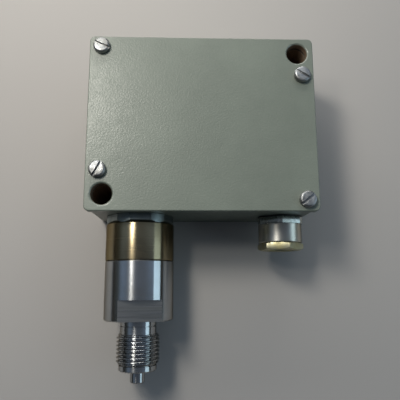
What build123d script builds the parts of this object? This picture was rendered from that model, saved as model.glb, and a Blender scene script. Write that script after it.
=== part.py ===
from build123d import *
import os

os.makedirs("parts", exist_ok=True)

# Wall-mounted pressure transmitter. Millimetres. The origin is the centre of the housing's back,
# which is the face that lies on the wall. +X is to the right and +Y up as seen from the front,
# and +Z points out of the wall through the cover. The pressure connection and the cable gland
# leave the lower side and point along -Y.

# Box
COVER_W = 110.0
COVER_H = 87.0
COVER_T = 4.0
COVER_CORNER_R = 2.5
COVER_EDGE_R = 0.6
GASKET_T = 1.0
HOUSING_D = 38.0
HOUSING_SETBACK = 0.5
HOUSING_CORNER_R = 3.0
WALL_T = 3.5
FLOOR_T = 4.0
CAVITY_DRAFT = 1.0
CAVITY_CORNER_R = 1.5
BACK_EDGE_R = 1.0

# Cover screws. Insets are measured from the edges of the cover, and the slots are as they were left.
SCREW_INSET_X = 6.0
SCREW_INSET_OUTER = 5.5
SCREW_INSET_INNER = 19.5
SLOT_ANGLES = (-23.0, -30.0, 62.0, 39.0)
SCREW_D = 4.0
SCREW_L = 12.0
SCREW_HEAD_D = 8.0
SCREW_HEAD_H = 2.5
SCREW_HEAD_EDGE_R = 1.1
SLOT_W = 1.2
SLOT_DEPTH = 1.1
THREAD_GAP = 0.05
SCREW_PAD = 4.5
SCREW_HOLE_SPARE = 1.5
COVER_HOLE_GAP = 0.25

# Mounting bores, on one diagonal
MOUNT_INSET_X = 8.0
MOUNT_INSET_Y = 8.0
MOUNT_BORE_D = 10.0
MOUNT_HOLE_D = 5.5
MOUNT_SEAT_T = 6.0
MOUNT_PAD = 7.0
MOUNT_CHAMFER = 0.6
GASKET_HOLE_GAP = 0.3

# Lid inside
LIP_GAP = 0.4
LIP_T = 1.6
LIP_H = 2.0
POCKET_DEPTH = 1.4
RIB_T = 2.0
RIB_PITCH = 24.0

# Pressure connection. Its lengths run from the outer face of the lower wall.
PORT_INSET = 24.0
AXIS_DROP = 0.5
BOSS_T = 8.0
CARRIER_THREAD_D = 18.0
CARRIER_THREAD_L = 9.0
CARRIER_AF = 32.0
CARRIER_D = 33.5
CARRIER_H = 4.3
CARRIER_CHAMFER = 1.0
CARRIER_TURN = 6.0
CARRIER_SPIGOT_L = 5.0
CARRIER_BORE_D = 9.0
ORING_MEAN_D = 23.0
ORING_SECTION_D = 2.0
ORING_GROOVE_DEPTH = 1.6
SLEEVE_D = 34.0
SLEEVE_BORE_D = 28.0
SLEEVE_L = 18.0
SLEEVE_EDGE = 0.35
SPIGOT_GAP = 0.05
BODY_L = 28.6
BODY_EDGE = 0.5
BODY_SPIGOT_L = 10.0
FLAT_AF = 27.0
FLAT_L = 10.0
FLAT_TURN = 8.0
NECK_D = 17.6
NECK_L = 2.4
NECK_GROOVE_DEPTH = 0.4
NECK_GROOVE_L = 0.5
RELIEF_L = 3.5
THREAD_D = 20.955
THREAD_DEPTH = 1.162
THREAD_L = 14.0
END_GROOVE_DEPTH = 0.55
END_GROOVE_L = 0.5
END_RING_D = 18.3
END_RING_L = 2.6
NIPPLE_D = 7.0
NIPPLE_L = 5.8
NIPPLE_CHAMFER = 0.6
PORT_BORE_D = 3.0

# Measuring cell in the head of the pressure connection
CELL_SEAT_D = 22.0
CELL_SEAT_DEPTH = 12.0
CELL_GAP = 0.2
CELL_T = 5.0
CELL_RIM_W = 2.4
CELL_FACE_DEPTH = 0.6
CELL_ORING_MEAN_D = 18.0
CELL_ORING_SECTION_D = 1.5
CLAMP_RING_T = 4.0
CLAMP_RING_BORE_D = 13.0
CLAMP_SLOT_W = 2.0
CLAMP_SLOT_DEPTH = 1.5
NOZZLE_D = 5.0
NOZZLE_L = 6.0
NOZZLE_BORE_D = 0.8
NOZZLE_SLOT_W = 1.0
NOZZLE_SLOT_DEPTH = 1.0
GROMMET_L = 6.0
LEAD_D = 1.1
LEAD_PITCH = 2.54
LEAD_RING_R = 2.4

# Cable gland. Its lengths run from the outer face of the lower wall.
GLAND_INSET = 14.5
GLAND_THREAD_D = 20.4
GLAND_GASKET_T = 0.8
GLAND_SHOULDER = 0.8
GLAND_HEX_H = 3.4
GLAND_HEX_TURN = -10.0
GLAND_HEX_LAND = 1.1
GLAND_BARREL_STEP = 0.1
GLAND_BARREL_L = 9.1
GLAND_BARREL_EDGE = 0.3
GLAND_WALL_T = 1.9
GLAND_BORE_D = 12.5
GLAND_SEAT_DEPTH = 10.0
GLAND_WASHER_T = 0.8
GLAND_SEAL_BORE_D = 11.5
GLAND_SEAL_L = 6.4
GLAND_RING_GAP = 0.1
GLAND_SCREW_AF = 20.0
GLAND_SCREW_TURN = 13.0
GLAND_SCREW_HEAD_H = 3.8
GLAND_SCREW_CHAMFER = 0.8
GLAND_MOUTH_R = 1.0

# Electronics
BOARD_INSET = 19.0
BOARD_INSET_TOP = 9.0
BOARD_H = 50.0
BOARD_T = 1.6
PILLAR_H = 6.0
PILLAR_D = 7.0
PILLAR_INSET = 4.5
BOARD_SCREW_D = 3.0
BOARD_SCREW_L = 5.5
BOARD_SCREW_HEAD_D = 5.6
BOARD_SCREW_HEAD_H = 2.0
BOARD_HOLE_GAP = 0.2
TERMINAL_POLES = 4
TERMINAL_PITCH = 7.5
TERMINAL_DEPTH = 12.0
TERMINAL_H = 11.0
TERMINAL_SCREW_GAP = 0.8
TERMINAL_EDGE_GAP = 2.0
TERMINAL_SCREW_D = 3.5
TERMINAL_SCREW_L = 4.0
TERMINAL_SINK = 0.8
TERMINAL_WIRE_HOLE = 3.6
TERMINAL_STEP = 3.0
HEADER_SCREW_GAP = 0.8
HEADER_EDGE_GAP = 4.5
HEADER_PITCHES = 5
HEADER_H = 6.0
HEADER_W = 5.0
CHIP_INSET = 28.0
CHIP_RISE = -2.0
CHIP_L = 19.0
CHIP_W = 6.6
CHIP_H = 3.6
CAPACITOR_INSET = 18.0
CAPACITOR_RISE = 9.0
CAPACITOR_D = 8.0
CAPACITOR_H = 11.5
CAPACITOR_PITCH = 13.0
EARTH_SIDE_GAP = 16.5
EARTH_BOARD_GAP = 3.0
EARTH_PAD_D = 10.0
EARTH_PAD_H = 6.0
EARTH_SCREW_D = 4.0
EARTH_SCREW_L = 8.0
EARTH_WASHER_D = 9.0
EARTH_WASHER_T = 1.0

# Values that follow from the ones above
HOUSING_W = COVER_W - 2 * HOUSING_SETBACK
HOUSING_H = COVER_H - 2 * HOUSING_SETBACK
WALL_Y = -HOUSING_H / 2
GASKET_Z = HOUSING_D
COVER_Z = HOUSING_D + GASKET_T
FRONT_Z = COVER_Z + COVER_T
CAVITY_W = HOUSING_W - 2 * WALL_T
CAVITY_H = HOUSING_H - 2 * WALL_T
SCREW_X = COVER_W / 2 - SCREW_INSET_X
SCREW_Y_OUTER = COVER_H / 2 - SCREW_INSET_OUTER
SCREW_Y_INNER = COVER_H / 2 - SCREW_INSET_INNER
MOUNT_X = COVER_W / 2 - MOUNT_INSET_X
MOUNT_Y = COVER_H / 2 - MOUNT_INSET_Y
COVER_SCREWS = (
    (-SCREW_X, SCREW_Y_OUTER, SLOT_ANGLES[0]),
    (SCREW_X, SCREW_Y_INNER, SLOT_ANGLES[1]),
    (-SCREW_X, -SCREW_Y_INNER, SLOT_ANGLES[2]),
    (SCREW_X, -SCREW_Y_OUTER, SLOT_ANGLES[3]),
)
SCREW_POINTS = [(x, y) for x, y, slot in COVER_SCREWS]
MOUNT_POINTS = [(MOUNT_X, MOUNT_Y), (-MOUNT_X, -MOUNT_Y)]
SCREW_HOLE_DEPTH = SCREW_L - COVER_T - GASKET_T + SCREW_HOLE_SPARE
BOARD_W = COVER_W - 2 * BOARD_INSET
BOARD_Y = COVER_H / 2 - BOARD_INSET_TOP - BOARD_H / 2
BOARD_EDGE_Y = BOARD_Y - BOARD_H / 2
PILLAR_POINTS = [
    (sx * (BOARD_W / 2 - PILLAR_INSET), BOARD_Y + sy * (BOARD_H / 2 - PILLAR_INSET))
    for sx in (-1, 1)
    for sy in (-1, 1)
]
BOARD_Z = FLOOR_T + PILLAR_H
BOARD_TOP = BOARD_Z + BOARD_T
HEADER_Y = BOARD_EDGE_Y + HEADER_EDGE_GAP + HEADER_W / 2
TERMINAL_Y = BOARD_EDGE_Y + TERMINAL_EDGE_GAP + TERMINAL_DEPTH / 2
TERMINAL_L = TERMINAL_POLES * TERMINAL_PITCH + 1
HEADER_L = HEADER_PITCHES * LEAD_PITCH
SCREW_SIDE_X = BOARD_W / 2 - PILLAR_INSET - BOARD_SCREW_HEAD_D / 2
TERMINAL_X = SCREW_SIDE_X - TERMINAL_SCREW_GAP - TERMINAL_L / 2
HEADER_X = -(SCREW_SIDE_X - HEADER_SCREW_GAP - HEADER_L / 2)
CHIP_X = CHIP_INSET - BOARD_W / 2
CAPACITOR_X = BOARD_W / 2 - CAPACITOR_INSET

# Axes of the pressure connection and the gland, just below the middle of the lower wall
PORT_X = PORT_INSET - COVER_W / 2
PORT_Z = HOUSING_D / 2 - AXIS_DROP
GLAND_X = COVER_W / 2 - GLAND_INSET
GLAND_Z = HOUSING_D / 2 - AXIS_DROP
EARTH_X = GLAND_X - EARTH_SIDE_GAP
EARTH_Y = BOARD_EDGE_Y - EARTH_BOARD_GAP - EARTH_WASHER_D / 2
CELL_D = CELL_SEAT_D - 2 * CELL_GAP
THREAD_ROOT_D = THREAD_D - 2 * THREAD_DEPTH
GLAND_HEX_AF = GLAND_THREAD_D + 2 * GLAND_SHOULDER
GLAND_BARREL_D = GLAND_HEX_AF - 2 * GLAND_BARREL_STEP
GLAND_SEAT_D = GLAND_BARREL_D - 2 * GLAND_WALL_T

# Stations along the pressure connection, measured out from the wall
SLEEVE_END = CARRIER_H + SLEEVE_L
BODY_END = SLEEVE_END + BODY_L
NECK_END = BODY_END + NECK_L
NECK_GROOVE_END = NECK_END + NECK_GROOVE_L
THREAD_START = NECK_GROOVE_END + RELIEF_L
THREAD_END = THREAD_START + THREAD_L
END_RING_START = THREAD_END + END_GROOVE_L
END_RING_END = END_RING_START + END_RING_L
NIPPLE_END = END_RING_END + NIPPLE_L
HEAD_START = SLEEVE_END - BODY_SPIGOT_L
CELL_FLOOR = HEAD_START + CELL_SEAT_DEPTH
CELL_END = CELL_FLOOR - CELL_ORING_SECTION_D
CELL_START = CELL_END - CELL_T
CLAMP_START = CELL_START - CLAMP_RING_T

# Stations along the cable gland, measured out from the wall
GLAND_HEX_END = GLAND_GASKET_T + GLAND_HEX_H
GLAND_BARREL_END = GLAND_HEX_END + GLAND_BARREL_L
GLAND_SEAT_FLOOR = GLAND_BARREL_END - GLAND_SEAT_DEPTH
GLAND_SEAL_START = GLAND_SEAT_FLOOR + GLAND_WASHER_T
GLAND_SEAL_END = GLAND_SEAL_START + GLAND_SEAL_L
GLAND_SCREW_TIP = GLAND_SEAL_END + GLAND_WASHER_T
GLAND_SCREW_END = GLAND_BARREL_END + GLAND_SCREW_HEAD_H

# Section planes hold the axis of a turned piece: local x is the radius and local y runs outwards.
# Face planes lie across the axis: local x is +X and the normal points outwards.
PORT_SECTION = Plane(origin=(PORT_X, WALL_Y, PORT_Z), x_dir=(1, 0, 0), z_dir=(0, 0, -1))
PORT_AXIS = Axis((PORT_X, WALL_Y, PORT_Z), (0, -1, 0))
PORT_FACE = Plane(origin=(PORT_X, WALL_Y, PORT_Z), x_dir=(1, 0, 0), z_dir=(0, -1, 0))
GLAND_SECTION = Plane(origin=(GLAND_X, WALL_Y, GLAND_Z), x_dir=(1, 0, 0), z_dir=(0, 0, -1))
GLAND_AXIS = Axis((GLAND_X, WALL_Y, GLAND_Z), (0, -1, 0))
GLAND_FACE = Plane(origin=(GLAND_X, WALL_Y, GLAND_Z), x_dir=(1, 0, 0), z_dir=(0, -1, 0))

# Outline of the hollow in the box. Pads for the cover screws and the mounting bores stand in it.
with BuildSketch() as cavity_outline:
    Rectangle(CAVITY_W, CAVITY_H)
    for sign, near, far in ((1, Align.MIN, Align.MAX), (-1, Align.MAX, Align.MIN)):
        with Locations((sign * (MOUNT_X - MOUNT_PAD), sign * (MOUNT_Y - MOUNT_PAD))):
            Rectangle(HOUSING_W, HOUSING_H, align=(near, near), mode=Mode.SUBTRACT)
        with Locations((sign * (SCREW_X - SCREW_PAD), sign * (SCREW_Y_INNER - SCREW_PAD))):
            Rectangle(HOUSING_W, HOUSING_H, align=(near, near), mode=Mode.SUBTRACT)
        with Locations((sign * (SCREW_PAD - SCREW_X), sign * (SCREW_Y_OUTER - SCREW_PAD))):
            Rectangle(HOUSING_W, HOUSING_H, align=(far, near), mode=Mode.SUBTRACT)
    fillet(cavity_outline.vertices(), CAVITY_CORNER_R)

# Cast housing
with BuildPart() as housing:
    with BuildSketch() as housing_outline:
        RectangleRounded(HOUSING_W, HOUSING_H, HOUSING_CORNER_R)
    extrude(amount=HOUSING_D)
    fillet(housing.faces().sort_by(Axis.Z)[0].edges(), BACK_EDGE_R)
    # The hollow narrows towards the floor, as a core that is drawn out of a casting does.
    with BuildSketch(Plane.XY.offset(HOUSING_D)) as cavity_mouth:
        add(cavity_outline.sketch)
    extrude(amount=-(HOUSING_D - FLOOR_T), taper=CAVITY_DRAFT, mode=Mode.SUBTRACT)
    # Thread bosses thicken the lower wall behind the pressure connection and the gland.
    with BuildSketch(Plane.XY.offset(FLOOR_T)) as boss_outline:
        with Locations((PORT_X, WALL_Y)):
            Rectangle(
                CARRIER_THREAD_D + 2 * WALL_T, BOSS_T, align=(Align.CENTER, Align.MIN)
            )
        with Locations((GLAND_X, WALL_Y)):
            Rectangle(
                GLAND_THREAD_D + 2 * HOUSING_SETBACK + WALL_T,
                BOSS_T,
                align=(Align.CENTER, Align.MIN),
            )
        add(housing_outline.sketch, mode=Mode.INTERSECT)
    extrude(amount=PORT_Z + GLAND_THREAD_D / 2 + WALL_T / 2 - FLOOR_T)
    with BuildSketch(Plane.XY.offset(FLOOR_T)) as pillar_outline:
        with Locations(*PILLAR_POINTS):
            Circle(PILLAR_D / 2)
    extrude(amount=PILLAR_H)
    with BuildSketch(Plane.XY.offset(FLOOR_T)) as earth_pad:
        with Locations((EARTH_X, EARTH_Y)):
            Circle(EARTH_PAD_D / 2)
    extrude(amount=EARTH_PAD_H)
    with BuildSketch(Plane.XY.offset(BOARD_Z)) as pillar_hole_outline:
        with Locations(*PILLAR_POINTS):
            Circle(BOARD_SCREW_D / 2 + THREAD_GAP)
    extrude(amount=-PILLAR_H, mode=Mode.SUBTRACT)
    with BuildSketch(Plane.XY.offset(FLOOR_T + EARTH_PAD_H)) as earth_hole_outline:
        with Locations((EARTH_X, EARTH_Y)):
            Circle(EARTH_SCREW_D / 2 + THREAD_GAP)
    extrude(amount=-EARTH_SCREW_L, mode=Mode.SUBTRACT)
    with BuildSketch(Plane.XY.offset(HOUSING_D)) as screw_hole_outline:
        with Locations(*SCREW_POINTS):
            Circle(SCREW_D / 2 + THREAD_GAP)
    extrude(amount=-SCREW_HOLE_DEPTH, mode=Mode.SUBTRACT)
    with BuildSketch(Plane.XY.offset(HOUSING_D)) as mount_bore_outline:
        with Locations(*MOUNT_POINTS):
            Circle(MOUNT_BORE_D / 2)
    extrude(amount=-(HOUSING_D - MOUNT_SEAT_T), mode=Mode.SUBTRACT)
    with BuildSketch() as mount_hole_outline:
        with Locations(*MOUNT_POINTS):
            Circle(MOUNT_HOLE_D / 2)
    extrude(amount=MOUNT_SEAT_T, mode=Mode.SUBTRACT)
    with BuildSketch(PORT_FACE) as port_hole_outline:
        Circle(CARRIER_THREAD_D / 2 + THREAD_GAP)
    extrude(amount=-(CARRIER_THREAD_L + SCREW_HOLE_SPARE), mode=Mode.SUBTRACT)
    with BuildSketch(GLAND_FACE) as gland_hole_outline:
        Circle(GLAND_THREAD_D / 2 + THREAD_GAP)
    extrude(amount=-BOSS_T, mode=Mode.SUBTRACT)

housing.part.label = "housing"
export_step(housing.part, "parts/housing.step")

# Flat gasket on the rim
with BuildPart() as cover_gasket:
    with BuildSketch(Plane.XY.offset(GASKET_Z)) as gasket_outline:
        RectangleRounded(
            HOUSING_W - 2 * HOUSING_SETBACK,
            HOUSING_H - 2 * HOUSING_SETBACK,
            HOUSING_CORNER_R - HOUSING_SETBACK,
        )
        add(cavity_outline.sketch, mode=Mode.SUBTRACT)
        with Locations(*SCREW_POINTS):
            Circle(SCREW_D / 2 + COVER_HOLE_GAP, mode=Mode.SUBTRACT)
        with Locations(*MOUNT_POINTS):
            Circle(MOUNT_BORE_D / 2 + GASKET_HOLE_GAP, mode=Mode.SUBTRACT)
    extrude(amount=GASKET_T)

cover_gasket.part.label = "cover_gasket"
export_step(cover_gasket.part, "parts/cover_gasket.step")

# Outlines of the lid's inner side
with BuildSketch() as lip_outline:
    add(cavity_outline.sketch)
    offset(amount=-LIP_GAP, kind=Kind.INTERSECTION)
with BuildSketch() as pocket_outline:
    add(cavity_outline.sketch)
    offset(amount=-(LIP_GAP + LIP_T), kind=Kind.INTERSECTION)

# Lid
with BuildPart() as cover:
    with BuildSketch(Plane.XY.offset(COVER_Z)) as cover_outline:
        RectangleRounded(COVER_W, COVER_H, COVER_CORNER_R)
    extrude(amount=COVER_T)
    fillet(cover.faces().sort_by(Axis.Z)[-1].edges(), COVER_EDGE_R)
    # A lip locates the lid in the box, and the field inside it is thinner, with ribs across.
    with BuildSketch(Plane.XY.offset(COVER_Z)) as lip_base:
        add(lip_outline.sketch)
    extrude(amount=-(GASKET_T + LIP_H))
    with BuildSketch(Plane.XY.offset(COVER_Z - GASKET_T - LIP_H)) as pocket_base:
        add(pocket_outline.sketch)
    extrude(amount=LIP_H + GASKET_T + POCKET_DEPTH, mode=Mode.SUBTRACT)
    with BuildSketch(Plane.XY.offset(COVER_Z)) as rib_outline:
        with GridLocations(RIB_PITCH, 0, 3, 1):
            Rectangle(RIB_T, CAVITY_H)
        add(pocket_outline.sketch, mode=Mode.INTERSECT)
    extrude(amount=POCKET_DEPTH)
    with BuildSketch(Plane.XY.offset(FRONT_Z)) as cover_hole_outline:
        with Locations(*SCREW_POINTS):
            Circle(SCREW_D / 2 + COVER_HOLE_GAP)
        with Locations(*MOUNT_POINTS):
            Circle(MOUNT_BORE_D / 2)
    extrude(amount=-COVER_T, mode=Mode.SUBTRACT)
    mount_rims = (
        cover.edges()
        .filter_by(GeomType.CIRCLE)
        .filter_by(lambda edge: abs(edge.radius - MOUNT_BORE_D / 2) < 0.01)
        .group_by(Axis.Z)[-1]
    )
    chamfer(mount_rims, MOUNT_CHAMFER)

cover.part.label = "cover"
export_step(cover.part, "parts/cover.step")

# Cover screws, each with its slot at its own angle
with BuildPart() as cover_screws:
    with BuildSketch(Plane.XY.offset(FRONT_Z)) as screw_head_outline:
        with Locations(*SCREW_POINTS):
            Circle(SCREW_HEAD_D / 2)
    extrude(amount=SCREW_HEAD_H)
    fillet(cover_screws.edges().group_by(Axis.Z)[-1], SCREW_HEAD_EDGE_R)
    with BuildSketch(Plane.XY.offset(FRONT_Z)) as screw_shank_outline:
        with Locations(*SCREW_POINTS):
            Circle(SCREW_D / 2)
    extrude(amount=-SCREW_L)
    with BuildSketch(Plane.XY.offset(FRONT_Z + SCREW_HEAD_H)) as screw_slot_outline:
        for x, y, slot in COVER_SCREWS:
            with Locations((x, y)):
                Rectangle(2 * SCREW_HEAD_D, SLOT_W, rotation=slot)
    extrude(amount=-SLOT_DEPTH, mode=Mode.SUBTRACT)

cover_screws.part.label = "cover_screws"
export_step(cover_screws.part, "parts/cover_screws.step")

# Collar of the pressure connection: a hexagon turned round at its corners, with a threaded spigot
# for the housing and a plain one for the sleeve
with BuildPart() as sensor_carrier:
    with BuildSketch(PORT_FACE) as collar_hexagon:
        RegularPolygon(CARRIER_AF / 2, 6, major_radius=False, rotation=-CARRIER_TURN)
    extrude(amount=CARRIER_H - CARRIER_CHAMFER)
    with BuildSketch(PORT_FACE.offset(CARRIER_H - CARRIER_CHAMFER)) as collar_edge:
        RegularPolygon(CARRIER_AF / 2, 6, major_radius=False, rotation=-CARRIER_TURN)
    extrude(amount=CARRIER_CHAMFER, taper=45)
    with BuildSketch(PORT_FACE) as collar_outline:
        Circle(CARRIER_D / 2)
    extrude(amount=CARRIER_H, mode=Mode.INTERSECT)
    with BuildSketch(PORT_FACE) as carrier_thread_outline:
        Circle(CARRIER_THREAD_D / 2)
    extrude(amount=-CARRIER_THREAD_L)
    with BuildSketch(PORT_FACE.offset(CARRIER_H)) as carrier_spigot_outline:
        Circle(SLEEVE_BORE_D / 2 - SPIGOT_GAP)
    extrude(amount=CARRIER_SPIGOT_L)
    with BuildSketch(PORT_FACE) as groove_outline:
        Circle(ORING_MEAN_D / 2 + ORING_SECTION_D / 2)
        Circle(ORING_MEAN_D / 2 - ORING_SECTION_D / 2, mode=Mode.SUBTRACT)
    extrude(amount=ORING_GROOVE_DEPTH, mode=Mode.SUBTRACT)
    with BuildSketch(PORT_FACE.offset(-CARRIER_THREAD_L)) as carrier_bore_outline:
        Circle(CARRIER_BORE_D / 2)
    extrude(amount=CARRIER_THREAD_L + CARRIER_H + CARRIER_SPIGOT_L, mode=Mode.SUBTRACT)

sensor_carrier.part.label = "sensor_carrier"
export_step(sensor_carrier.part, "parts/sensor_carrier.step")

# Ring seal, pressed flat between its groove and the wall
with BuildPart() as carrier_oring:
    with BuildSketch(PORT_SECTION) as carrier_oring_section:
        with Locations((ORING_MEAN_D / 2, ORING_GROOVE_DEPTH / 2)):
            SlotOverall(ORING_SECTION_D, ORING_GROOVE_DEPTH)
    revolve(axis=PORT_AXIS)

carrier_oring.part.label = "carrier_oring"
export_step(carrier_oring.part, "parts/carrier_oring.step")

# Sleeve round the electronics side of the cell
with BuildPart() as sleeve:
    with BuildSketch(PORT_FACE.offset(CARRIER_H)) as sleeve_outline:
        Circle(SLEEVE_D / 2)
        Circle(SLEEVE_BORE_D / 2, mode=Mode.SUBTRACT)
    extrude(amount=SLEEVE_L)
    sleeve_rims = sleeve.edges().filter_by(
        lambda edge: edge.geom_type == GeomType.CIRCLE and edge.radius > SLEEVE_BORE_D / 2 + 1
    )
    chamfer(sleeve_rims, SLEEVE_EDGE)

sleeve.part.label = "sleeve"
export_step(sleeve.part, "parts/sleeve.step")

# Turned body of the pressure connection, drawn as half its section from the head to the nipple
with BuildPart() as process_connection:
    with BuildSketch(PORT_SECTION) as connection_section:
        with BuildLine() as connection_profile:
            Polyline(
                (CELL_SEAT_D / 2, HEAD_START),
                (SLEEVE_BORE_D / 2 - SPIGOT_GAP, HEAD_START),
                (SLEEVE_BORE_D / 2 - SPIGOT_GAP, SLEEVE_END),
                (SLEEVE_D / 2 - BODY_EDGE, SLEEVE_END),
                (SLEEVE_D / 2, SLEEVE_END + BODY_EDGE),
                (SLEEVE_D / 2, BODY_END - BODY_EDGE),
                (SLEEVE_D / 2 - BODY_EDGE, BODY_END),
                (NECK_D / 2, BODY_END),
                (NECK_D / 2, NECK_END),
                (NECK_D / 2 - NECK_GROOVE_DEPTH, NECK_END),
                (NECK_D / 2 - NECK_GROOVE_DEPTH, NECK_GROOVE_END),
                (NECK_D / 2, NECK_GROOVE_END),
                (NECK_D / 2, THREAD_START),
                (THREAD_ROOT_D / 2, THREAD_START),
                (THREAD_D / 2, THREAD_START + THREAD_DEPTH),
                (THREAD_D / 2, THREAD_END - THREAD_DEPTH),
                (THREAD_ROOT_D / 2, THREAD_END),
                (END_RING_D / 2 - END_GROOVE_DEPTH, THREAD_END),
                (END_RING_D / 2 - END_GROOVE_DEPTH, END_RING_START),
                (END_RING_D / 2, END_RING_START),
                (END_RING_D / 2, END_RING_END - BODY_EDGE),
                (END_RING_D / 2 - BODY_EDGE, END_RING_END),
                (NIPPLE_D / 2, END_RING_END),
                (NIPPLE_D / 2, NIPPLE_END - NIPPLE_CHAMFER),
                (NIPPLE_D / 2 - NIPPLE_CHAMFER, NIPPLE_END),
                (PORT_BORE_D / 2, NIPPLE_END),
                (PORT_BORE_D / 2, CELL_FLOOR + NOZZLE_L),
                (NOZZLE_D / 2 + THREAD_GAP, CELL_FLOOR + NOZZLE_L),
                (NOZZLE_D / 2 + THREAD_GAP, CELL_FLOOR),
                (CELL_SEAT_D / 2, CELL_FLOOR),
                close=True,
            )
        make_face()
    revolve(axis=PORT_AXIS)
    # Two wrench flats on the end of the body
    with BuildSketch(PORT_FACE.offset(BODY_END)) as flat_outline:
        Circle(SLEEVE_D)
        Rectangle(2 * SLEEVE_D, FLAT_AF, rotation=-FLAT_TURN, mode=Mode.SUBTRACT)
    extrude(amount=-FLAT_L, mode=Mode.SUBTRACT)

process_connection.part.label = "process_connection"
export_step(process_connection.part, "parts/process_connection.step")

# Damping nozzle in the port
with BuildPart() as port_nozzle:
    with BuildSketch(PORT_FACE.offset(CELL_FLOOR)) as nozzle_outline:
        Circle(NOZZLE_D / 2)
        Circle(NOZZLE_BORE_D / 2, mode=Mode.SUBTRACT)
    extrude(amount=NOZZLE_L)
    with BuildSketch(PORT_FACE.offset(CELL_FLOOR)) as nozzle_slot_outline:
        Rectangle(2 * NOZZLE_D, NOZZLE_SLOT_W)
    extrude(amount=NOZZLE_SLOT_DEPTH, mode=Mode.SUBTRACT)

port_nozzle.part.label = "port_nozzle"
export_step(port_nozzle.part, "parts/port_nozzle.step")

# Measuring cell: a disc whose face towards the pressure is cut back to a thin diaphragm
with BuildPart() as sensing_cell:
    with BuildSketch(PORT_FACE.offset(CELL_START)) as cell_outline:
        Circle(CELL_D / 2)
    extrude(amount=CELL_T)
    with BuildSketch(PORT_FACE.offset(CELL_END)) as cell_face_outline:
        Circle(CELL_ORING_MEAN_D / 2 - CELL_RIM_W / 2)
    extrude(amount=-CELL_FACE_DEPTH, mode=Mode.SUBTRACT)

sensing_cell.part.label = "sensing_cell"
export_step(sensing_cell.part, "parts/sensing_cell.step")

# Ring seal under the cell
with BuildPart() as cell_oring:
    with BuildSketch(PORT_SECTION) as cell_oring_section:
        with Locations((CELL_ORING_MEAN_D / 2, CELL_FLOOR - CELL_ORING_SECTION_D / 2)):
            Circle(CELL_ORING_SECTION_D / 2)
    revolve(axis=PORT_AXIS)

cell_oring.part.label = "cell_oring"
export_step(cell_oring.part, "parts/cell_oring.step")

# Threaded ring that holds the cell down, with two slots for its key
with BuildPart() as clamp_ring:
    with BuildSketch(PORT_FACE.offset(CLAMP_START)) as clamp_outline:
        Circle(CELL_SEAT_D / 2 - THREAD_GAP)
        Circle(CLAMP_RING_BORE_D / 2, mode=Mode.SUBTRACT)
    extrude(amount=CLAMP_RING_T)
    with BuildSketch(PORT_FACE.offset(CLAMP_START)) as clamp_slot_outline:
        Rectangle(2 * CELL_SEAT_D, CLAMP_SLOT_W)
    extrude(amount=CLAMP_SLOT_DEPTH, mode=Mode.SUBTRACT)

clamp_ring.part.label = "clamp_ring"
export_step(clamp_ring.part, "parts/clamp_ring.step")

# Leads from the back of the cell, through the collar, up to the header on the board
LEAD_POINTS = [(LEAD_RING_R * sx, LEAD_RING_R * sz) for sx, sz in ((-1, -1), (-1, 1), (1, -1), (1, 1))]
LEAD_ROWS = [HEADER_X + (i - 1.5) * LEAD_PITCH for i in (0, 1, 2, 3)]
HEADER_TOP = BOARD_TOP + HEADER_H
with BuildPart() as sensor_leads:
    for (dx, dz), row_x in zip(LEAD_POINTS, LEAD_ROWS):
        with BuildLine() as lead_path:
            straight = Line(
                (PORT_X + dx, WALL_Y - CELL_START, PORT_Z + dz),
                (PORT_X + dx, WALL_Y + CARRIER_THREAD_L + LEAD_D, PORT_Z + dz),
            )
            Spline(
                straight @ 1,
                (row_x, HEADER_Y - HEADER_W, HEADER_TOP + 4 * LEAD_D),
                (row_x, HEADER_Y, HEADER_TOP),
                tangents=(straight % 1, (0, 0, -1)),
            )
        with BuildSketch(Plane(origin=straight @ 0, z_dir=straight % 0)) as lead_section:
            Circle(LEAD_D / 2)
        sweep(path=lead_path.wires()[0])

sensor_leads.part.label = "sensor_leads"
export_step(sensor_leads.part, "parts/sensor_leads.step")

# Rubber bush that holds the leads in the mouth of the collar
with BuildPart() as lead_grommet:
    with BuildSketch(PORT_FACE.offset(-CARRIER_THREAD_L)) as grommet_outline:
        Circle(CARRIER_BORE_D / 2)
        with Locations(*[(dx, dz) for dx, dz in LEAD_POINTS]):
            Circle(LEAD_D / 2 + THREAD_GAP, mode=Mode.SUBTRACT)
    extrude(amount=GROMMET_L)

lead_grommet.part.label = "lead_grommet"
export_step(lead_grommet.part, "parts/lead_grommet.step")

# Circuit board on its pillars
with BuildPart() as circuit_board:
    with BuildSketch(Plane.XY.offset(BOARD_Z)) as board_outline:
        with Locations((0, BOARD_Y)):
            RectangleRounded(BOARD_W, BOARD_H, CAVITY_CORNER_R)
        with Locations(*PILLAR_POINTS):
            Circle(BOARD_SCREW_D / 2 + BOARD_HOLE_GAP, mode=Mode.SUBTRACT)
    extrude(amount=BOARD_T)

circuit_board.part.label = "circuit_board"
export_step(circuit_board.part, "parts/circuit_board.step")

with BuildPart() as board_screws:
    with BuildSketch(Plane.XY.offset(BOARD_TOP)) as board_head_outline:
        with Locations(*PILLAR_POINTS):
            Circle(BOARD_SCREW_HEAD_D / 2)
    extrude(amount=BOARD_SCREW_HEAD_H)
    fillet(board_screws.edges().group_by(Axis.Z)[-1], BOARD_SCREW_HEAD_H / 3)
    with BuildSketch(Plane.XY.offset(BOARD_TOP)) as board_shank_outline:
        with Locations(*PILLAR_POINTS):
            Circle(BOARD_SCREW_D / 2)
    extrude(amount=-BOARD_SCREW_L)
    with BuildSketch(Plane.XY.offset(BOARD_TOP + BOARD_SCREW_HEAD_H)) as board_slot_outline:
        with Locations(*PILLAR_POINTS):
            Rectangle(2 * BOARD_SCREW_D, SLOT_W * 0.7)
    extrude(amount=-SLOT_DEPTH, mode=Mode.SUBTRACT)

board_screws.part.label = "board_screws"
export_step(board_screws.part, "parts/board_screws.step")

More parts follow.
